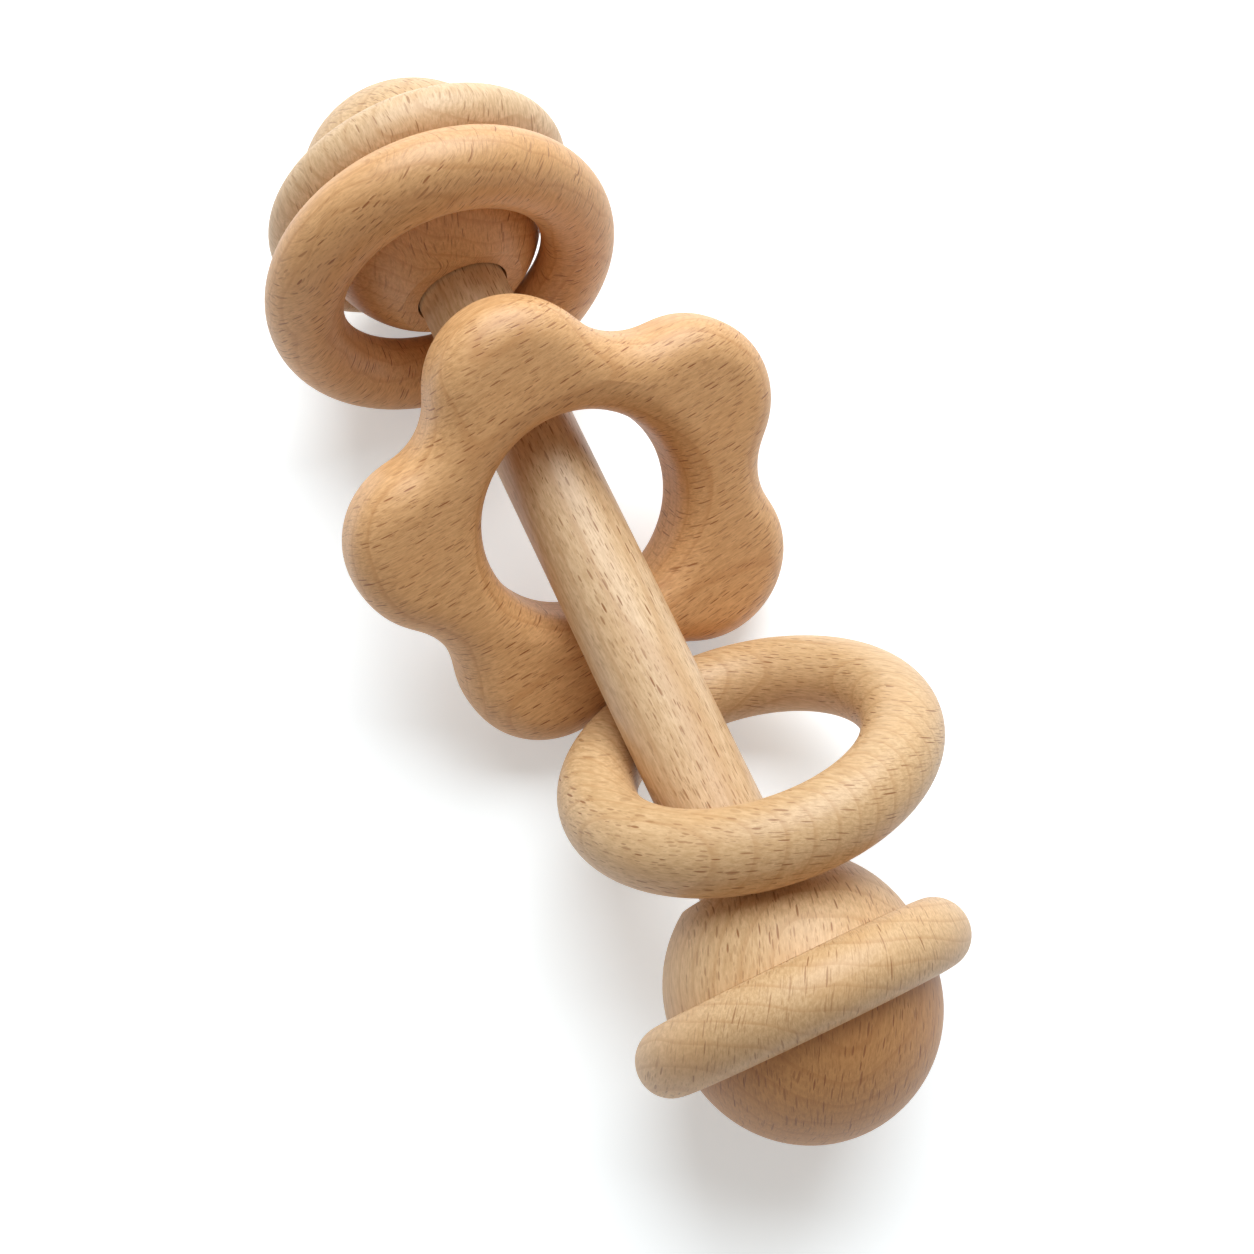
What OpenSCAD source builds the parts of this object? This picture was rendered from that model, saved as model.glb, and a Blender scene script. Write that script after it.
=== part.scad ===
// Wooden grasping rattle: a straight dowel handle between two grooved
// ball ends, each ball trapping one ring, with two loose rings and one
// loose flower ring threaded on the dowel.
//
// Frame: millimetres, +Z up, the dowel's axis along X, the floor at z = 0.
// The far end is at -X, the near end at +X. The rattle lies at rest on its
// two captive rings, and the three loose pieces lean where they came to rest.

/* [Handle] */

// Diameter of the dowel
rod_d = 13.5; // [13.1:0.1:13.6]

// Distance between the mid-planes of the two ball ends
ball_span = 127.8; // [124:0.2:134]

// How far the dowel's ends reach past the mid-planes, into the outer halves
rod_reach = 8; // [5:0.5:10]

/* [Ball ends] */

// Diameter of both halves of a ball end
ball_d = 35; // [34.4:0.1:35.4]

// Offset of the rod-side half's sphere centre from the mid-plane
inner_offset = 1.6; // [1.2:0.1:1.8]

// Offset of the outer half's sphere centre from the mid-plane
outer_offset = 0.8; // [0.5:0.1:1.4]

// Diameter of the flat land around the dowel's socket
land_d = 19.2; // [18:0.2:21]

// Radial gap that shows around the dowel at the socket's mouth
mouth_gap = 0.35; // [0.2:0.05:0.6]

// Depth of the widened mouth of the socket
mouth_depth = 3; // [2:0.5:5]

/* [Captive rings] */

// Mean diameter of a captive ring, at the middle of its tube
captive_mean_d = 37.8; // [37.4:0.1:38.2]

// Thickness of a captive ring's tube
captive_tube_d = 9.2; // [8.8:0.1:9.6]

// Gap all round between a captive ring and its groove
groove_gap = 0.35; // [0.3:0.05:0.6]

/* [Loose rings] */

// Mean diameter of a loose ring, at the middle of its tube
ring_mean_d = 42; // [41.8:0.1:42.6]

// Thickness of a loose ring's tube
ring_tube_d = 11; // [10.6:0.1:11]

/* [Flower ring] */

// Thickness of the flower ring
flower_t = 14; // [13.4:0.1:14]

// Radius of the rounded rims on the flower's outline
rim_r = 5.5; // [4.5:0.1:5.6]

// Radius of the rounded rims of the flower's hole
hole_rim_r = 5; // [4.2:0.1:5.1]

// Diameter of the flower's hole
hole_d = 29.8; // [29.7:0.1:30.1]

// Mean radius of the five petals' arcs
petal_r = 12.75; // [12.4:0.05:13.2]

// Mean distance of the petals' arc centres from the hole's centre
petal_off = 21.1; // [20.9:0.05:21.6]

/* [Hidden] */

// Smoothness of round parts; above a dozen steps they are true curves
$fn = 72;

// Running clearance of the dowel in its bores, radial
bore_gap = 0.05;
// Glue line between the two halves of a ball
glue_gap = 0.05;
// Chamfer on the dowel's ends
end_chamfer = 1;
// How far cutters run past the faces they cut
cut = 1;

rod_r = rod_d / 2;
ball_r = ball_d / 2;
land_r = land_d / 2;
bore_r = rod_r + bore_gap;
mouth_r = rod_r + mouth_gap;
cap_mean = captive_mean_d / 2;
cap_tube = captive_tube_d / 2;
groove_r = cap_tube + groove_gap;
ring_mean = ring_mean_d / 2;
ring_tube = ring_tube_d / 2;
hole_r = hole_d / 2;
half_span = ball_span / 2;

// The dowel's axis stands one captive ring's outer radius above the floor
axis_z = cap_mean + cap_tube;

// Distance of the flat land from the mid-plane, on the rod side
land_s = inner_offset + sqrt(ball_r * ball_r - land_r * land_r);
// Bottom of the blind bore in an outer half
blind_s = rod_reach + 0.5;

// The five petals were shaped by hand: each one's small departures from
// the mean arc radius, from the mean distance, and from even spacing
petal_dr = [-0.25, 0.5, 0.34, -0.26, -0.33];
petal_do = [-0.19, 0.37, 0.27, 0.6, -0.93];
petal_da = [-0.6, -2.3, 4.1, -2.9, 1.6];
// Radii of the hollows between each petal and the next
notch_r = [10.3, 10.0, 9.5, 11.7, 8.6];
// Steps along each petal, along each hollow, and round a quarter of a rim
petal_steps = 17;
notch_steps = 8;
rim_steps = 6;

// Rest poses of the loose pieces: how far each sits from the dowel's axis,
// as shares of its own size, then its lean away from +Z and its bearing.
// Where each one stops along the dowel follows from what it touches.
rest_gap = 0.33;

far_ring_lean = 80.78;
far_ring_bearing = -1.62;
far_ring_at = [0, -0.087 * ring_mean, ring_mean * sin(far_ring_lean) + ring_tube];
far_ring_place = far_ring_at + [1, 0, 0] * slide_clear(
  ring_line(far_ring_at, far_ring_lean, far_ring_bearing),
  [[inner_offset - half_span, 0, axis_z]], ball_r + ring_tube + rest_gap, 1);

near_ring_bearing = 177.33;
near_ring_at = [0, 0.346 * ring_mean, axis_z + 0.04 * ring_mean];
near_ring_lean = flattest(near_ring_at, near_ring_bearing);
near_ring_place = near_ring_at + [1, 0, 0] * slide_clear(
  ring_line(near_ring_at, near_ring_lean, near_ring_bearing),
  [[half_span - inner_offset, 0, axis_z]], ball_r + ring_tube + rest_gap, -1);

flower_turn = [-42.017, -13.195, -95.189];
flower_at = [0, 0.077 * hole_r, axis_z - 0.009 * hole_r];
flower_place = flower_at + [1, 0, 0] * slide_clear(
  [for (z = [-1, 1]) for (q = outline(rim_r))
     flower_at + turned([q[0], q[1], z * (flower_t / 2 - rim_r)], flower_turn)],
  ring_line(near_ring_place, near_ring_lean, near_ring_bearing),
  rim_r + ring_tube + rest_gap, -1);

BEECH = [0.86, 0.66, 0.44];
BEECH_PALE = [0.90, 0.72, 0.50];
BEECH_WARM = [0.82, 0.60, 0.38];

// A place on the dowel's axis, with local +Z pointing along X
module on_axis(x, toward = 1) {
  translate([x, 0, axis_z]) rotate([0, toward * 90, 0]) children();
}

// A plain ring of round section about +Z
module torus(mean, tube) {
  rotate_extrude() translate([mean, 0]) circle(r = tube);
}

// Section of a captive ring's groove, centred on the mid-plane
module groove_section() {
  translate([cap_mean, 0]) circle(r = groove_r);
}

// A slab of the section plane between two distances from the mid-plane
module band(s0, s1, r0 = 0, r1 = ball_d) {
  translate([r0, s0]) square([r1 - r0, s1 - s0]);
}

// Section of the rod-side half of a ball: sphere, land, socket and groove
module inner_section() {
  difference() {
    intersection() {
      union() {
        translate([0, inner_offset]) circle(r = ball_r);
        band(0, inner_offset, 0, ball_r);
      }
      band(glue_gap / 2, land_s);
    }
    groove_section();
    band(-cut, land_s + cut, -cut, bore_r);
    band(land_s - mouth_depth, land_s + cut, -cut, mouth_r);
  }
}

// Section of the outer half of a ball: sphere, blind bore and groove
module outer_section() {
  difference() {
    intersection() {
      union() {
        translate([0, outer_offset]) circle(r = ball_r);
        band(0, outer_offset, 0, ball_r);
      }
      band(glue_gap / 2, outer_offset + ball_d);
    }
    groove_section();
    band(-cut, blind_s, -cut, bore_r);
    // the section stays on one side of the axis
    band(-ball_d, ball_d * 2, -ball_d, 0);
  }
}

module inner_ball() {
  rotate_extrude() inner_section();
}

module outer_ball() {
  rotate_extrude() outer_section();
}

// A loose ring at its rest place, leaning by its bearing
module leaning_ring(place, lean, bearing) {
  translate(place) rotate([0, lean, bearing]) torus(ring_mean, ring_tube);
}

// ---- where the loose pieces come to rest --------------------------------

// A vector turned the way rotate() turns a shape
function turned(v, r) =
  let (a = [v[0], cos(r[0]) * v[1] - sin(r[0]) * v[2], sin(r[0]) * v[1] + cos(r[0]) * v[2]],
       b = [cos(r[1]) * a[0] + sin(r[1]) * a[2], a[1], cos(r[1]) * a[2] - sin(r[1]) * a[0]])
  [cos(r[2]) * b[0] - sin(r[2]) * b[1], sin(r[2]) * b[0] + cos(r[2]) * b[1], b[2]];

// Points along the middle of a loose ring's tube
function ring_line(place, lean, bearing) =
  [for (t = [0:5:355]) place + turned(ring_mean * [cos(t), sin(t), 0], [0, lean, bearing])];

// Shift along X that brings one set of points just clear of another, on its
// +X side (way = 1) or its -X side (way = -1)
function slide_clear(moved, still, reach, way) =
  way * max([for (p = moved) for (q = still)
    let (d = p - q, room = reach * reach - d[1] * d[1] - d[2] * d[2])
    if (room > 0) sqrt(room) - way * d[0]]);

// Least distance of a ring's middle line from the dowel's axis
function axis_room(line) = min([for (p = line) norm([p[1], p[2] - axis_z])]);

// The flattest lean at which a ring still passes the dowel, found by halving
function flattest(place, bearing, low = 20, high = 90, tries = 14) =
  let (mid = (low + high) / 2)
  tries == 0 ? high
  : axis_room(ring_line(place, mid, bearing)) > rod_r + ring_tube + rest_gap
  ? flattest(place, bearing, low, mid, tries - 1)
  : flattest(place, bearing, mid, high, tries - 1);

// ---- flower ring -------------------------------------------------------

function petal_angle(k) = 72 * k + petal_da[k % 5];
function petal_rad(k) = petal_r + petal_dr[k % 5];
function petal_pos(k) = (petal_off + petal_do[k % 5])
  * [cos(petal_angle(k)), sin(petal_angle(k))];

// Centre of the hollow between petals k and k + 1, tangent to both arcs
function notch_pos(k) =
  let (p = petal_pos(k), q = petal_pos(k + 1),
       rp = petal_rad(k) + notch_r[k % 5], rq = petal_rad(k + 1) + notch_r[k % 5],
       span = norm(q - p), along = (span * span + rp * rp - rq * rq) / (2 * span),
       up = sqrt(rp * rp - along * along), u = (q - p) / span)
  p + along * u + up * [u[1], -u[0]];

function bearing(v) = atan2(v[1], v[0]);
function turn_to(a, b) = (b - a + 720) % 360;

// Points along an arc of the given centre and radius, its end left out
function arc(centre, r, a0, sweep, steps) =
  [for (i = [0:steps - 1]) centre + r * [cos(a0 + sweep * i / steps), sin(a0 + sweep * i / steps)]];

// The outline drawn in by an inset: round each petal, then back round the
// hollow after it, so points of equal index lie on one normal of the outline
function outline(inset) =
  [for (k = [0:4])
    let (p = petal_pos(k), q = petal_pos(k + 1),
         before = notch_pos(k + 4), after = notch_pos(k),
         a0 = bearing(before - p), a1 = bearing(after - p),
         b0 = bearing(p - after), b1 = bearing(q - after))
    each concat(
      arc(p, petal_rad(k) - inset, a0, turn_to(a0, a1), petal_steps),
      arc(after, notch_r[k] + inset, b0, -turn_to(b1, b0), notch_steps))];

// Rounding of an upper and a lower edge, from low to high: [inset, height]
function rim_profile(rim) =
  let (flat = flower_t / 2 - rim)
  concat([for (j = [0:rim_steps]) let (a = -90 + 90 * j / rim_steps)
            [rim * (1 - cos(a)), -flat + rim * sin(a)]],
         [for (j = [0:rim_steps]) let (a = 90 * j / rim_steps)
            [rim * (1 - cos(a)), flat + rim * sin(a)]]);

// The petals' rounded edge, the two flat faces and the hole's rounded edge
// form one closed grid: columns follow the outline, rows go round the section
module flower() {
  outer = rim_profile(rim_r);
  inner = rim_profile(hole_rim_r);
  rings = concat([for (e = outer) [outline(e[0]), e[1]]]);
  core = outline(rim_r);
  cols = len(core);
  half = len(outer);
  rows = 2 * half;
  pts = [
    for (row = rings) for (q = row[0]) [q[0], q[1], row[1]],
    for (j = [half - 1:-1:0]) for (q = core)
      let (r = hole_r + inner[j][0], a = bearing(q)) [r * cos(a), r * sin(a), inner[j][1]]
  ];
  polyhedron(points = pts, convexity = 8, faces = [
    for (j = [0:rows - 1]) for (i = [0:cols - 1])
      let (i2 = (i + 1) % cols, j2 = (j + 1) % rows,
           a = j * cols + i, b = j * cols + i2, c = j2 * cols + i2, d = j2 * cols + i)
      each [[a, c, b], [a, d, c]]
  ]);
}

// ---- nodes -------------------------------------------------------------

module handle_dowel() {
  len = ball_span + 2 * rod_reach;
  color(BEECH_PALE) on_axis(0) rotate_extrude()
    polygon([[0, -len / 2], [rod_r - end_chamfer, -len / 2],
             [rod_r, -len / 2 + end_chamfer], [rod_r, len / 2 - end_chamfer],
             [rod_r - end_chamfer, len / 2], [0, len / 2]]);
}

module far_inner_ball() {
  color(BEECH) on_axis(-half_span) inner_ball();
}

module far_outer_ball() {
  color(BEECH) on_axis(-half_span, -1) outer_ball();
}

module far_captive_ring() {
  color(BEECH_PALE) on_axis(-half_span) torus(cap_mean, cap_tube);
}

module near_inner_ball() {
  color(BEECH) on_axis(half_span, -1) inner_ball();
}

module near_outer_ball() {
  color(BEECH) on_axis(half_span) outer_ball();
}

module near_captive_ring() {
  color(BEECH_PALE) on_axis(half_span) torus(cap_mean, cap_tube);
}

module far_loose_ring() {
  color(BEECH) leaning_ring(far_ring_place, far_ring_lean, far_ring_bearing);
}

module flower_ring() {
  color(BEECH_WARM) translate(flower_place) rotate(flower_turn) flower();
}

module near_loose_ring() {
  color(BEECH_PALE) leaning_ring(near_ring_place, near_ring_lean, near_ring_bearing);
}

handle_dowel();
far_inner_ball();
far_outer_ball();
far_captive_ring();
near_inner_ball();
near_outer_ball();
near_captive_ring();
far_loose_ring();
flower_ring();
near_loose_ring();
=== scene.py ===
"""Wooden grasping rattle: beech finishes, a pale floor, soft light and a camera
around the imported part.

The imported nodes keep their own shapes. Each one gets a solid beech finish that
is cut through by its surface as real wood is, so the flecks run along a face,
curl round a rim and scatter over end grain. The flower ring's facets are
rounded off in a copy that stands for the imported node.
"""

import logging
from dataclasses import dataclass
from enum import Enum
from typing import Optional, Union

import bpy
from mathutils import Matrix, Vector


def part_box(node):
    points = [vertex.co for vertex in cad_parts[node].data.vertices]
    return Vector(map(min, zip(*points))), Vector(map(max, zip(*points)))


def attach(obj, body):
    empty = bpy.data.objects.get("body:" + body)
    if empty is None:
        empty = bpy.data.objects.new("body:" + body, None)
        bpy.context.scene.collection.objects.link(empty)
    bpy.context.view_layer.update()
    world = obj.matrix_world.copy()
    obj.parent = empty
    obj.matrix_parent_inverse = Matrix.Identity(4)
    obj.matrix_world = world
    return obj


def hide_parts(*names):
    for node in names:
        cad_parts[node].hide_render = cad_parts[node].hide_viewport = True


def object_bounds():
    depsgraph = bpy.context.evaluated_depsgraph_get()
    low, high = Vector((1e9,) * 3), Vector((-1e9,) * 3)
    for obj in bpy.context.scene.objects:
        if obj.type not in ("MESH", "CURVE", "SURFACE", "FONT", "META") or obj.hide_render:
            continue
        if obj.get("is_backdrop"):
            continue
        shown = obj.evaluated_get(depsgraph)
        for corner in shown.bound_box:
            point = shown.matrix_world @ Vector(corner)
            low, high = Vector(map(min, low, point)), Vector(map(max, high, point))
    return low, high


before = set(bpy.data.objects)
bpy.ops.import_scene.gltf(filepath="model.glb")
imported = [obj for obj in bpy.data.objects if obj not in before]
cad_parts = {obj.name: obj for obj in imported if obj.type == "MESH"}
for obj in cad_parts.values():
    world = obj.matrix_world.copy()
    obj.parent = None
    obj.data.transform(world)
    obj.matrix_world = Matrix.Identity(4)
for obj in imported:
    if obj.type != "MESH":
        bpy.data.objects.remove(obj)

LOG = logging.getLogger("rattle")
MM = 0.001

Triple = tuple[float, float, float]
Pair = tuple[float, float]
Socket = bpy.types.NodeSocket
Value = Union[Socket, float]
Colour = Union[Socket, Triple]


def unit(v: Triple) -> Vector:
    """A vector of length one along v."""
    return Vector(v).normalized()


def tinted(colour: Vector, share: Triple) -> Triple:
    """A colour with each channel scaled by its share."""
    return tuple(c * k for c, k in zip(colour, share))


# ---- node trees -------------------------------------------------------------


def preset(node: bpy.types.Node, values: dict[str, object]) -> None:
    """Set the named inputs of a node to plain values."""
    for name, value in values.items():
        node.inputs[name].default_value = value


@dataclass
class Weaver:
    """Adds nodes to one tree and links them.

    Attributes:
        tree: The node tree that is written.
    """

    tree: bpy.types.NodeTree

    @classmethod
    def of(cls, owner: Union[bpy.types.Material, bpy.types.World]) -> "Weaver":
        """A weaver on the emptied node tree of a material or world."""
        owner.use_nodes = True
        owner.node_tree.nodes.clear()
        return cls(owner.node_tree)

    def add(self, kind: str, **settings: object) -> bpy.types.Node:
        """Add a node.

        Args:
            kind: The node's type name.
            settings: Properties to set on it.

        Returns:
            The new node.
        """
        node = self.tree.nodes.new(kind)
        for key, value in settings.items():
            setattr(node, key, value)
        return node

    def feed(self, socket: Socket, value: Value) -> None:
        """Link a socket to another, or set its own value."""
        if isinstance(value, bpy.types.NodeSocket):
            self.tree.links.new(value, socket)
        else:
            socket.default_value = value

    def calc(self, operation: str, *values: Value) -> Socket:
        """A Math node's result.

        Args:
            operation: Blender's name of the operation.
            values: One to three operands.

        Returns:
            The output socket.
        """
        node = self.add("ShaderNodeMath", operation=operation)
        for socket, value in zip(node.inputs, values):
            self.feed(socket, value)
        return node.outputs[0]

    def product(self, one: Value, other: Value) -> Socket:
        """Two values multiplied."""
        return self.calc("MULTIPLY", one, other)

    def hypotenuse(self, one: Socket, other: Socket) -> Socket:
        """Length of the vector with these two components."""
        squares = self.product(one, one), self.product(other, other)
        return self.calc("SQRT", self.calc("ADD", *squares))

    def vector(self, x: Value, y: Value, z: Value) -> Socket:
        """Three values combined into a vector."""
        node = self.add("ShaderNodeCombineXYZ")
        for socket, value in zip(node.inputs, (x, y, z)):
            self.feed(socket, value)
        return node.outputs[0]

    def parts(self, vector: Socket) -> list[Socket]:
        """A vector's three components."""
        node = self.add("ShaderNodeSeparateXYZ")
        self.feed(node.inputs[0], vector)
        return list(node.outputs)

    def vector_math(self, operation: str, one: Socket,
                    other: Union[Socket, Triple, None] = None) -> bpy.types.Node:
        """A Vector Math node fed with one or two vectors."""
        node = self.add("ShaderNodeVectorMath", operation=operation)
        self.feed(node.inputs[0], one)
        if other is not None:
            self.feed(node.inputs[1], other)
        return node

    def ramp(self, value: Value, low: Value, high: Value, to: Pair = (0, 1)) -> Socket:
        """Smoothly remap a value from [low, high] to the two ends of `to`."""
        node = self.add("ShaderNodeMapRange", interpolation_type="SMOOTHSTEP")
        self.feed(node.inputs["Value"], value)
        self.feed(node.inputs["From Min"], low)
        self.feed(node.inputs["From Max"], high)
        preset(node, {"To Min": to[0], "To Max": to[1]})
        return node.outputs[0]

    def noise(self, vector: Socket, scale: float, detail: float, rough: float) -> bpy.types.Node:
        """A Noise texture node fed with a vector."""
        node = self.add("ShaderNodeTexNoise")
        self.feed(node.inputs["Vector"], vector)
        preset(node, {"Scale": scale, "Detail": detail, "Roughness": rough})
        return node

    def blend(self, amount: Value, low: Colour, high: Colour) -> Socket:
        """Mix two colours.

        Args:
            amount: 0 gives `low`, 1 gives `high`.
            low: The first colour.
            high: The second colour.

        Returns:
            The colour socket.
        """
        node = self.add("ShaderNodeMix", data_type="RGBA")
        self.feed(node.inputs[0], amount)
        for socket, colour in ((node.inputs[6], low), (node.inputs[7], high)):
            linked = isinstance(colour, bpy.types.NodeSocket)
            self.feed(socket, colour if linked else (*colour, 1.0))
        return node.outputs[2]

    def finish(self, kind: str, surface: bpy.types.Node) -> None:
        """Add the output node of this kind and end the tree in the surface."""
        out = self.add(kind)
        self.feed(out.inputs["Surface"], surface.outputs[0])


# ---- beech ------------------------------------------------------------------


class Tone(Enum):
    """How pale or warm a blank of beech is, or how dark where a tone is painted shade: its middle
    colour, linear.
    """

    PALE = (0.715, 0.490, 0.290)
    MIDDLE = (0.668, 0.434, 0.231)
    GOLDEN = (0.720, 0.406, 0.184)
    # Painted shade: a dark tone that stands in for the shade on the near ball's outer half, which
    # turns away from the lamp.
    WARM = (0.515, 0.254, 0.092)


@dataclass(frozen=True)
class FleckLayer:
    """One size of fleck: thin lenses of ray tissue that the surface cuts.

    Attributes:
        cell: Spacing along, outward and around the log, in millimetres.
        share: Half size of the largest lens that way, as a share of the spacing.
        rare: Share of the places with no fleck.
        strength: How dark the flecks are, 1 for the darkest.
    """

    cell: Triple
    share: Triple
    rare: float
    strength: float


FLECK_LAYERS = (
    FleckLayer((2.7, 2.3, 0.92), (0.45, 0.85, 0.145), 0.18, 1.0),
    FleckLayer((1.9, 1.8, 0.62), (0.45, 0.85, 0.165), 0.16, 0.60),
    FleckLayer((1.1, 1.2, 0.30), (0.44, 0.80, 0.23), 0.12, 0.34),
)
FLECK_SMALLEST = 0.55  # smallest lens, as a share of the largest
FLECK_CORE = 0.65  # share of a lens that is fully dark
FLECK_FAINTEST = 0.45  # darkness of the faintest lens
FLECK_DEPTHS = 0.60  # from the faintest lens to the darkest
FLECK_SOFT_CHANCE = 0.1  # band of chance in which a lens fades in
FLECK_COVER = 0.95

EVEN_ROUGH = 0.5  # roughness of the slow noises

DRIFT_SCALE = 0.07  # per millimetre
DRIFT_ALONG = 0.35  # the grain wanders slowly along the fibres
DRIFT_REACH = 3.0  # millimetres, outward and along
DRIFT_AROUND = 3.6  # millimetres
DRIFT_DETAIL = 1.0

STREAK_STRETCH = (0.42, 1.8, 3.6)  # per millimetre: along, outward, around
STREAK_DETAIL = 3.0
STREAK_ROUGH = 0.68
STREAK_BAND = (0.30, 0.72)

PATCH_SCALE = 0.11  # per millimetre
PATCH_ALONG = 0.5
PATCH_DETAIL = 2.0
PATCH_BAND = (0.45, 0.75)
PATCH_COVER = 0.35

YEARS_PER_MM = 0.42
LATE_WOOD = (0.72, 0.95, 1.0)  # where in a year it starts, peaks and stops
LATE_COVER = 0.50

PALE_SHARE = 1.08  # these scale a tone's red, green and blue
DEEP_SHARE = (0.84, 0.77, 0.68)
PATCH_SHARE = (0.96, 0.82, 0.66)
LATE_SHARE = (0.76, 0.62, 0.48)
FLECK_SHARE = (0.42, 0.25, 0.12)

RAY_FLAT = (0.55, 1.0)  # 1 where the surface lies along the rays
RAY_FADE = (1.0, 0.35)

SPECULAR = 0.50
ROUGH_SPREAD = 0.16
ROUGH_BASE = -0.10
STREAK_RELIEF = 0.35
BUMP_STRENGTH = 0.45
BUMP_DEPTH = 0.06 * MM


@dataclass(frozen=True)
class Blank:
    """How a piece was sawn from the log.

    Attributes:
        centre: Middle of the piece, in millimetres.
        fibre: Direction of the fibres.
        bark: Direction from the log's heart out to the bark.
        heart: Distance of the log's heart from the piece, in millimetres.
        along: Slide of the pattern along the fibres, so no two pieces match.
        swirl: How much the grain wanders, 1 for straight-grained stock.
    """

    centre: Triple
    fibre: Triple
    bark: Triple
    heart: float
    along: float
    swirl: float = 1.0

    def axes(self) -> Matrix:
        """The log's frame: fibre, bark and tangent as columns."""
        fibre = unit(self.fibre)
        bark = Vector(self.bark)
        bark = (bark - bark.dot(fibre) * fibre).normalized()
        return Matrix((fibre, bark, fibre.cross(bark))).transposed()

    def origin(self) -> Vector:
        """A point on the log's heart, in metres."""
        return (Vector(self.centre) - self.axes().col[1] * self.heart) * MM


@dataclass(frozen=True)
class Beech:
    """A satin, oiled beech finish for one piece.

    Attributes:
        name: The material's name.
        blank: How the piece was sawn.
        tone: The blank's middle colour.
        fleck: Strength of the brown flecks.
        mottle: Strength of the broad dark patches.
        rough: Roughness of the surface.
    """

    name: str
    blank: Blank
    tone: Tone
    fleck: float
    mottle: float
    rough: float

    def material(self) -> bpy.types.Material:
        """Make the material.

        Returns:
            A new material with its whole node tree.
        """
        made = bpy.data.materials.new(self.name)
        w = Weaver.of(made)
        place = self._log_coordinates(w)
        flecks = self._flecks(w, place)
        stretched = [w.product(p, k) for p, k in zip(place, STREAK_STRETCH)]
        streaks = w.noise(w.vector(*stretched), 1.0, STREAK_DETAIL, STREAK_ROUGH).outputs["Fac"]
        colour = self._colour(w, place, streaks, flecks)
        self._shade(w, colour, streaks, flecks)
        return made

    def _turned(self, w: Weaver, vector: Socket, origin: Triple, scale: float = 1.0) -> Socket:
        """A vector of the piece, seen in the log's frame.

        Args:
            w: The tree.
            vector: The vector.
            origin: The frame's origin, in metres.
            scale: Length of the frame's unit, in metres.

        Returns:
            The turned vector.
        """
        turn = w.add("ShaderNodeMapping", vector_type="TEXTURE")
        w.feed(turn.inputs["Vector"], vector)
        preset(turn, {"Location": origin, "Rotation": self.blank.axes().to_euler(),
                      "Scale": (scale, scale, scale)})
        return turn.outputs[0]

    def _log_coordinates(self, w: Weaver) -> tuple[Socket, Socket, Socket]:
        """Coordinates in the log, in millimetres: along, outward and around."""
        place = w.add("ShaderNodeTexCoord").outputs["Object"]
        x, y, z = w.parts(self._turned(w, place, self.blank.origin(), MM))
        swirl = self.blank.swirl
        slow = w.vector(w.product(x, DRIFT_ALONG * swirl), y, z)
        drift = w.noise(slow, DRIFT_SCALE * swirl, DRIFT_DETAIL, EVEN_ROUGH)
        dy, dz, dx = w.parts(drift.outputs["Color"])
        sway = w.calc("MULTIPLY_ADD", dy, DRIFT_REACH, -DRIFT_REACH / 2)
        bark = w.calc("ADD", w.hypotenuse(y, z), sway)
        round_heart = w.product(w.calc("ARCTAN2", z, y), self.blank.heart)
        sway = w.calc("MULTIPLY_ADD", dz, DRIFT_AROUND, -DRIFT_AROUND / 2)
        tangent = w.calc("ADD", round_heart, sway)
        fibre = w.calc("ADD", x, w.calc("MULTIPLY_ADD", dx, DRIFT_REACH, self.blank.along))
        return fibre, bark, tangent

    def _fleck_layer(self, w: Weaver, layer: FleckLayer, place: tuple[Socket, ...]) -> Socket:
        """One size of fleck.

        Args:
            w: The tree.
            layer: Its size, spacing and strength.
            place: The log coordinates.

        Returns:
            How much of a fleck there is, 0 to the layer's strength.
        """
        scaled = w.vector(*[w.calc("DIVIDE", p, c) for p, c in zip(place, layer.cell)])
        spots = w.add("ShaderNodeTexVoronoi", feature="F1")
        w.feed(spots.inputs["Vector"], scaled)
        spots.inputs["Scale"].default_value = 1.0
        chance, span, depth = w.parts(spots.outputs["Color"])
        away = w.vector_math("SUBTRACT", scaled, spots.outputs["Position"])
        lens = w.vector_math("DIVIDE", away.outputs[0], layer.share)
        length = w.vector_math("LENGTH", lens.outputs[0]).outputs["Value"]
        radius = w.calc("MULTIPLY_ADD", span, 1 - FLECK_SMALLEST, FLECK_SMALLEST)
        inside = w.ramp(length, w.product(radius, FLECK_CORE), radius, (1, 0))
        there = w.ramp(chance, layer.rare, layer.rare + FLECK_SOFT_CHANCE)
        dark = w.calc("MULTIPLY_ADD", depth, FLECK_DEPTHS, FLECK_FAINTEST)
        return w.product(w.product(inside, w.product(there, dark)), layer.strength)

    def _flecks(self, w: Weaver, place: tuple[Socket, ...]) -> Socket:
        """All sizes of fleck, fainter where a ray lies flat in the surface."""
        large, middling, fine = (self._fleck_layer(w, layer, place) for layer in FLECK_LAYERS)
        darkest = w.calc("MAXIMUM", w.calc("MAXIMUM", large, middling), fine)
        return w.product(darkest, self._ray_edge(w))

    def _ray_edge(self, w: Weaver) -> Socket:
        """1 where the surface cuts the rays' edges, less where it lies along them."""
        place = w.add("ShaderNodeTexCoord")
        normal = w.parts(self._turned(w, place.outputs["Normal"], (0, 0, 0)))
        spot = w.parts(self._turned(w, place.outputs["Object"], self.blank.origin()))
        cross = w.calc("SUBTRACT", w.product(spot[1], normal[2]), w.product(spot[2], normal[1]))
        flat = w.calc("ABSOLUTE", w.calc("DIVIDE", cross, w.hypotenuse(spot[1], spot[2])))
        return w.ramp(flat, *RAY_FLAT, RAY_FADE)

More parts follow.
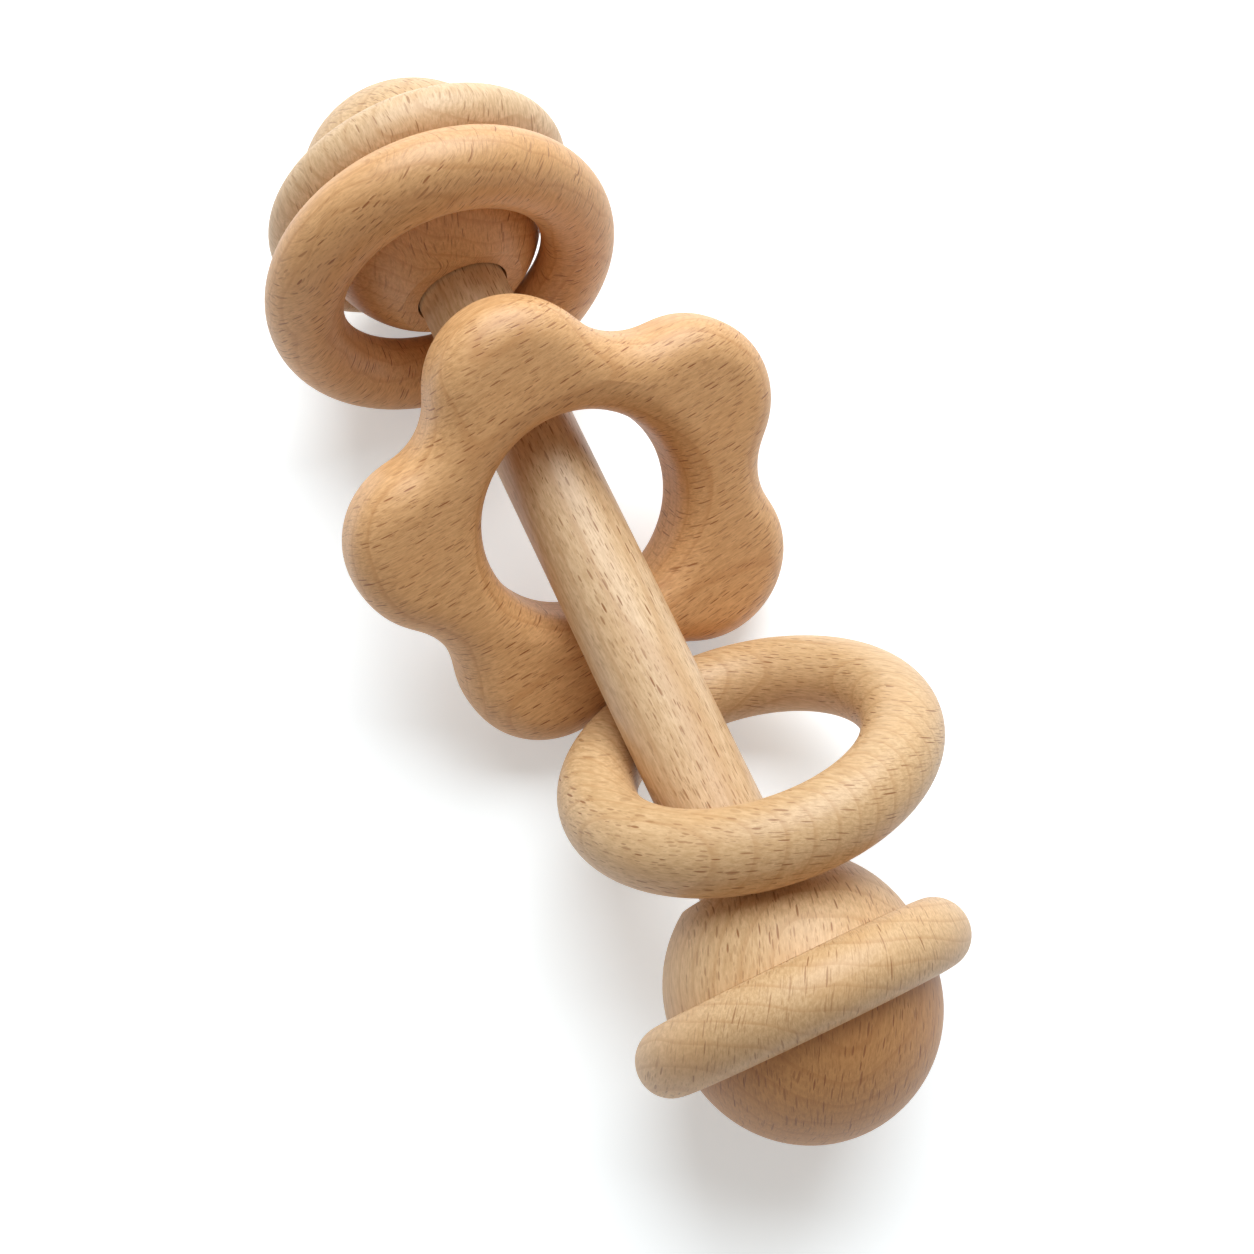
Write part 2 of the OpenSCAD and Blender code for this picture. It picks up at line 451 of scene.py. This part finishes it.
    def _colour(self, w: Weaver, place: tuple[Socket, ...], streaks: Socket,
                flecks: Socket) -> Socket:
        """Colour of the wood: fibre streaks, patches, growth lines and flecks."""
        fibre, bark, tangent = place
        mid = Vector(self.tone.value)
        base = w.blend(w.ramp(streaks, *STREAK_BAND), tinted(mid, DEEP_SHARE),
                       tuple(mid * PALE_SHARE))

        spread = w.vector(w.product(fibre, PATCH_ALONG), bark, tangent)
        slow = w.noise(spread, PATCH_SCALE, PATCH_DETAIL, EVEN_ROUGH)
        patches = w.ramp(slow.outputs["Fac"], *PATCH_BAND)
        base = w.blend(w.product(patches, PATCH_COVER * self.mottle), base,
                       tinted(mid, PATCH_SHARE))

        year = w.calc("FRACT", w.product(bark, YEARS_PER_MM))
        start, peak, stop = LATE_WOOD
        late = w.product(w.ramp(year, start, peak), w.ramp(year, peak, stop, (1, 0)))
        base = w.blend(w.product(late, LATE_COVER), base, tinted(mid, LATE_SHARE))
        return w.blend(w.product(flecks, FLECK_COVER * self.fleck), base,
                       tinted(mid, FLECK_SHARE))

    def _shade(self, w: Weaver, colour: Socket, streaks: Socket, flecks: Socket) -> None:
        """The satin surface, with flecks a hair below it."""
        skin = w.add("ShaderNodeBsdfPrincipled")
        w.feed(skin.inputs["Base Color"], colour)
        w.feed(skin.inputs["Roughness"],
               w.calc("MULTIPLY_ADD", streaks, ROUGH_SPREAD, self.rough + ROUGH_BASE))
        skin.inputs["Specular IOR Level"].default_value = SPECULAR
        bump = w.add("ShaderNodeBump")
        preset(bump, {"Strength": BUMP_STRENGTH, "Distance": BUMP_DEPTH})
        w.feed(bump.inputs["Height"], w.calc("SUBTRACT", w.product(streaks, STREAK_RELIEF), flecks))
        w.feed(skin.inputs["Normal"], bump.outputs[0])
        w.finish("ShaderNodeOutputMaterial", skin)


# ---- the rattle's sub-assemblies --------------------------------------------


def dress(node: str, finish: Beech) -> None:
    """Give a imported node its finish.

    Args:
        node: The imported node's name.
        finish: The finish it gets.
    """
    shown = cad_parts[node]
    made = finish.material()
    for slot in shown.material_slots:
        slot.material = made
    LOG.info("%s dressed in %s", node, finish.name)


def middle(node: str) -> Triple:
    """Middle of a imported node's box, in millimetres."""
    low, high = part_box(node)
    return tuple((low + high) / 2 / MM)


@dataclass
class Handle:
    """The straight dowel that both balls are glued to.

    Attributes:
        node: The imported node.
        fibre: Fibre direction, along the dowel but for a slight slope.
        bark: Bark direction.
    """

    node: str = "handle_dowel"
    fibre: Triple = (1, 0.012, 0)
    bark: Triple = (0, 0.3, 1)

    def build(self) -> None:
        """Dress the dowel."""
        blank = Blank(middle(self.node), self.fibre, self.bark, heart=60, along=3.0)
        dress(self.node, Beech("beech_dowel", blank, Tone.PALE, fleck=1.0, mottle=0.8, rough=0.42))


@dataclass
class BallEnd:
    """A two-part ball with a ring trapped in its groove.

    Attributes:
        side: "far" or "near".
        fibre: Fibre direction of the ball's blank.
        bark: Bark direction of the ball's blank.
        ring_fibre: Fibre direction of the captive ring.
        ring_bark: Bark direction of the captive ring.
        tones: Tones of the ball's inner and outer halves.
        ring_tone: Tone of the captive ring.
        swirl: How much their grain wanders.
        slides: Slides of the pattern on the inner half, the outer half and the ring.
    """

    side: str
    fibre: Triple
    bark: Triple
    ring_fibre: Triple
    ring_bark: Triple
    tones: tuple[Tone, Tone]
    ring_tone: Tone
    swirl: float
    slides: Triple = (11.0, 18.0, 23.0)

    def build(self) -> None:
        """Dress both halves from neighbouring blanks, and the captive ring."""
        for half, tone, along in zip(("inner", "outer"), self.tones, self.slides):
            node = f"{self.side}_{half}_ball"
            blank = Blank(middle(node), self.fibre, self.bark, heart=48, along=along,
                          swirl=self.swirl)
            dress(node, Beech(f"beech_{node}", blank, tone, fleck=0.95, mottle=1.0, rough=0.5))
        ring = f"{self.side}_captive_ring"
        blank = Blank(middle(ring), self.ring_fibre, self.ring_bark, heart=64,
                      along=self.slides[-1], swirl=self.swirl)
        dress(ring, Beech(f"beech_{ring}", blank, self.ring_tone, fleck=0.8, mottle=1.3, rough=0.5))


@dataclass
class LooseRing:
    """A plain ring loose on the dowel.

    Attributes:
        node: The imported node.
        fibre: Fibre direction.
        bark: Bark direction.
        tone: Tone of the blank.
        along: Slide of the pattern.
        swirl: How much the grain wanders.
    """

    node: str
    fibre: Triple
    bark: Triple
    tone: Tone
    along: float
    swirl: float

    def build(self) -> None:
        """Dress the ring."""
        blank = Blank(middle(self.node), self.fibre, self.bark, heart=75, along=self.along,
                      swirl=self.swirl)
        dress(self.node, Beech(f"beech_{self.node}", blank, self.tone,
                               fleck=1.0, mottle=1.0, rough=0.46))


@dataclass
class FlowerRing:
    """The five-petalled ring, its facets rounded off.

    Attributes:
        node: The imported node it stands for.
        body: The body it rides on.
        face: The way its flat side faces, which is also the bark direction.
        fibre: Fibre direction.
        name: The new piece's name.
        weld: Distance under which points are merged, in metres.
        rounds: How often the mesh is subdivided.
        bend: Largest bend between two triangles that make a quad, in radians.
        skew: Largest difference from a rectangle in such a quad, in radians.
    """

    node: str = "flower_ring"
    body: str = "flower"
    face: Triple = (0.676, 0.108, 0.729)
    fibre: Triple = (0.1609, -0.987, -0.003)
    name: str = "flower_petals"
    weld: float = 0.002 * MM
    rounds: int = 2
    bend: float = 0.35
    skew: float = 1.2

    def build(self) -> bpy.types.Object:
        """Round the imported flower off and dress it.

        Returns:
            The new piece.
        """
        piece = self._copy()
        self._round(piece)
        blank = Blank(middle(self.node), self.fibre, self.face, heart=80, along=5.0)
        finish = Beech("beech_flower", blank, Tone.GOLDEN, fleck=1.0, mottle=0.7, rough=0.48)
        piece.data.materials.clear()
        piece.data.materials.append(finish.material())
        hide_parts(self.node)
        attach(piece, self.body)
        LOG.info("%s rounded and dressed: %d faces", piece.name, len(piece.data.polygons))
        return piece

    def _copy(self) -> bpy.types.Object:
        """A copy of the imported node's mesh, as a piece of its own."""
        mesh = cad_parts[self.node].data.copy()
        mesh.name = self.name
        piece = bpy.data.objects.new(self.name, mesh)
        bpy.context.scene.collection.objects.link(piece)
        return piece

    def _round(self, piece: bpy.types.Object) -> None:
        """Merge the loose triangles into quads and round the facets off."""
        bpy.ops.object.select_all(action="DESELECT")
        piece.select_set(True)
        bpy.context.view_layer.objects.active = piece
        bpy.ops.mesh.customdata_custom_splitnormals_clear()
        bpy.ops.object.mode_set(mode="EDIT")
        bpy.ops.mesh.select_all(action="SELECT")
        bpy.ops.mesh.remove_doubles(threshold=self.weld)
        bpy.ops.mesh.mark_sharp(clear=True)
        bpy.ops.mesh.tris_convert_to_quads(face_threshold=self.bend, shape_threshold=self.skew)
        bpy.ops.object.mode_set(mode="OBJECT")
        bpy.ops.object.shade_smooth()
        smooth = piece.modifiers.new("round", "SUBSURF")
        smooth.levels = smooth.render_levels = self.rounds
        bpy.ops.object.modifier_apply(modifier=smooth.name)
        bpy.ops.object.select_all(action="DESELECT")


# ---- the studio -------------------------------------------------------------


@dataclass
class Floor:
    """A wide pale floor that keeps the rattle's shadow.

    Attributes:
        side: Its side, in metres.
        drop: How far it lies below the rattle, in metres.
        colour: Its colour, as light falls on it.
        rough: Roughness of its surface.
        shine: How strongly it mirrors.
        glow: Tint of the light it adds for the camera and for mirrored rays.
        near: How strong that light is round the rattle, up to `near_edge`.
        far: How strong it is beyond `far_edge`, where the lamp no longer reaches.
        near_edge: Distance from the middle, in metres.
        far_edge: Distance from the middle, in metres.
    """

    side: float = 6.0
    drop: float = 0.0001
    colour: Triple = (0.93, 0.925, 0.92)
    rough: float = 0.9
    shine: float = 0.1
    glow: Triple = (0.93, 1.0, 1.04)
    near: float = 0.37
    far: float = 1.0
    near_edge: float = 0.20
    far_edge: float = 0.60

    def build(self) -> None:
        """Make the floor and stage it."""
        bpy.ops.object.select_all(action="DESELECT")
        bpy.ops.mesh.primitive_grid_add(x_subdivisions=8, y_subdivisions=8, size=self.side,
                                        location=(0, 0, -self.drop))
        floor = bpy.context.active_object
        floor.name = "floor"
        bpy.ops.object.transform_apply(location=True, rotation=True, scale=True)
        floor.data.materials.append(self._material())
        floor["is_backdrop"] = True
        LOG.info("floor laid")

    def _material(self) -> bpy.types.Material:
        """Matt white, with a glow that lights nothing."""
        made = bpy.data.materials.new("pale_floor")
        w = Weaver.of(made)
        skin = w.add("ShaderNodeBsdfPrincipled")
        preset(skin, {"Base Color": (*self.colour, 1), "Roughness": self.rough,
                      "Specular IOR Level": self.shine})
        glow = w.add("ShaderNodeEmission")
        glow.inputs["Color"].default_value = (*self.glow, 1)
        path = w.add("ShaderNodeLightPath")
        mirrored = w.calc("ADD", path.outputs["Is Glossy Ray"], path.outputs["Is Transmission Ray"])
        seen = w.calc("MINIMUM", w.calc("ADD", path.outputs["Is Camera Ray"], mirrored), 1.0)
        place = w.add("ShaderNodeTexCoord")
        away = w.vector_math("LENGTH", place.outputs["Object"]).outputs["Value"]
        level = w.ramp(away, self.near_edge, self.far_edge, (self.near, self.far))
        w.feed(glow.inputs["Strength"], w.product(seen, level))
        both = w.add("ShaderNodeAddShader")
        w.feed(both.inputs[0], skin.outputs[0])
        w.feed(both.inputs[1], glow.outputs[0])
        w.finish("ShaderNodeOutputMaterial", both)
        return made


@dataclass
class Surround:
    """A plain surround: white where it is seen, dim and warm where it lights.

    Attributes:
        colour: Colour of its light.
        strength: Strength of its light.
    """

    colour: Triple = (1.0, 0.88, 0.75)
    strength: float = 0.27

    def build(self) -> None:
        """Make the world."""
        world = bpy.data.worlds.new("surround")
        bpy.context.scene.world = world
        w = Weaver.of(world)
        light = w.add("ShaderNodeBackground")
        preset(light, {"Color": (*self.colour, 1), "Strength": self.strength})
        white = w.add("ShaderNodeBackground")
        white.inputs["Color"].default_value = (1, 1, 1, 1)
        path = w.add("ShaderNodeLightPath")
        seen = w.calc("MAXIMUM", path.outputs["Is Camera Ray"], path.outputs["Is Glossy Ray"])
        both = w.add("ShaderNodeMixShader")
        w.feed(both.inputs[0], seen)
        w.feed(both.inputs[1], light.outputs[0])
        w.feed(both.inputs[2], white.outputs[0])
        w.finish("ShaderNodeOutputWorld", both)
        LOG.info("surround set")


@dataclass
class Lamp:
    """A square soft lamp that faces the rattle.

    Attributes:
        name: Its name.
        place: Its place, in metres.
        target: The point it faces, in metres.
        size: Its side, in metres.
        power: Its power, in watts.
        colour: Its colour.
    """

    name: str = "key"
    place: Triple = (-0.56, 0.33, 0.78)
    target: Triple = (0, 0, 0.02)
    size: float = 0.95
    power: float = 15.7
    colour: Triple = (0.895, 1.0, 1.07)

    def build(self) -> None:
        """Make the lamp."""
        lamp = bpy.data.lights.new(self.name, "AREA")
        lamp.shape, lamp.size = "SQUARE", self.size
        lamp.energy, lamp.color = self.power, self.colour
        holder = bpy.data.objects.new(self.name, lamp)
        bpy.context.scene.collection.objects.link(holder)
        holder.location = self.place
        back = Vector(self.place) - Vector(self.target)
        holder.rotation_euler = back.to_track_quat("Z", "Y").to_euler()
        LOG.info("lamp %s hung", self.name)


@dataclass
class Camera:
    """The camera, looking down along the rattle from near its near end.

    Attributes:
        eye: Its place, in metres.
        right: Direction to the right of the view.
        down: Direction to the foot of the view.
        lens: Focal length, in millimetres.
        sensor: Width of the sensor, in millimetres.
        nearest: Distance under which nothing is drawn, in metres.
    """

    eye: Triple = (0.06297, -0.028, 0.22759)
    right: Triple = (0.4211, 0.9069, 0.0149)
    down: Triple = (0.8711, -0.3998, -0.2854)
    lens: float = 44.19
    sensor: float = 36.0
    nearest: float = 0.01

    def build(self) -> None:
        """Make the camera and look through it."""
        data = bpy.data.cameras.new("camera")
        data.lens, data.sensor_width, data.clip_start = self.lens, self.sensor, self.nearest
        camera = bpy.data.objects.new("camera", data)
        bpy.context.scene.collection.objects.link(camera)
        right = unit(self.right)
        back = right.cross(-unit(self.down)).normalized()
        turn = Matrix((right, back.cross(right), back)).transposed().to_4x4()
        camera.matrix_world = Matrix.Translation(self.eye) @ turn
        bpy.context.scene.camera = camera
        bpy.context.scene.view_settings.view_transform = "Standard"
        LOG.info("camera placed")


def sub_assemblies() -> list[Union[Handle, BallEnd, LooseRing, FlowerRing]]:
    """The rattle's sub-assemblies, each with its own blanks of beech."""
    return [
        Handle(),
        BallEnd("far", fibre=(1, 0.25, 0.1), bark=(0, 0.6, 0.8),
                ring_fibre=(1, 0, 0.1), ring_bark=(0, 0.5, 0.85),
                # The far captive ring's pale tone is partly its own pale wood and partly a painted
                # highlight on its lit far side.
                tones=(Tone.GOLDEN, Tone.MIDDLE), ring_tone=Tone.PALE, swirl=1.8),
        BallEnd("near", fibre=(0.93, -0.36, 0), bark=(0.1, 0.2, 1),
                ring_fibre=(-0.10, 0.03, 1), ring_bark=(0.907, -0.421, 0.1),
                # The near outer half's dark tone is painted shade for its underside, which turns
                # away from the lamp.
                tones=(Tone.MIDDLE, Tone.WARM), ring_tone=Tone.MIDDLE, swirl=1.3),
        LooseRing("far_loose_ring", fibre=(0, 0.85, 0.5), bark=(1, 0, 0.1),
                  tone=Tone.GOLDEN, along=31.0, swirl=2.0),
        LooseRing("near_loose_ring", fibre=(-0.5320, -0.6154, -0.5816),
                  bark=(-0.057, -0.658, 0.748), tone=Tone.MIDDLE, along=47.0, swirl=1.0),
        FlowerRing(),
    ]


def main(packed: Optional[tuple[Vector, Vector]] = None) -> None:
    """Dress every sub-assembly and build the studio.
    """
    logging.basicConfig(level=logging.INFO, format="%(name)s: %(message)s")
    for made in (*sub_assemblies(), Floor(), Surround(), Lamp(), Camera()):
        made.build()


if __name__ == "__main__":
    main(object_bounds())
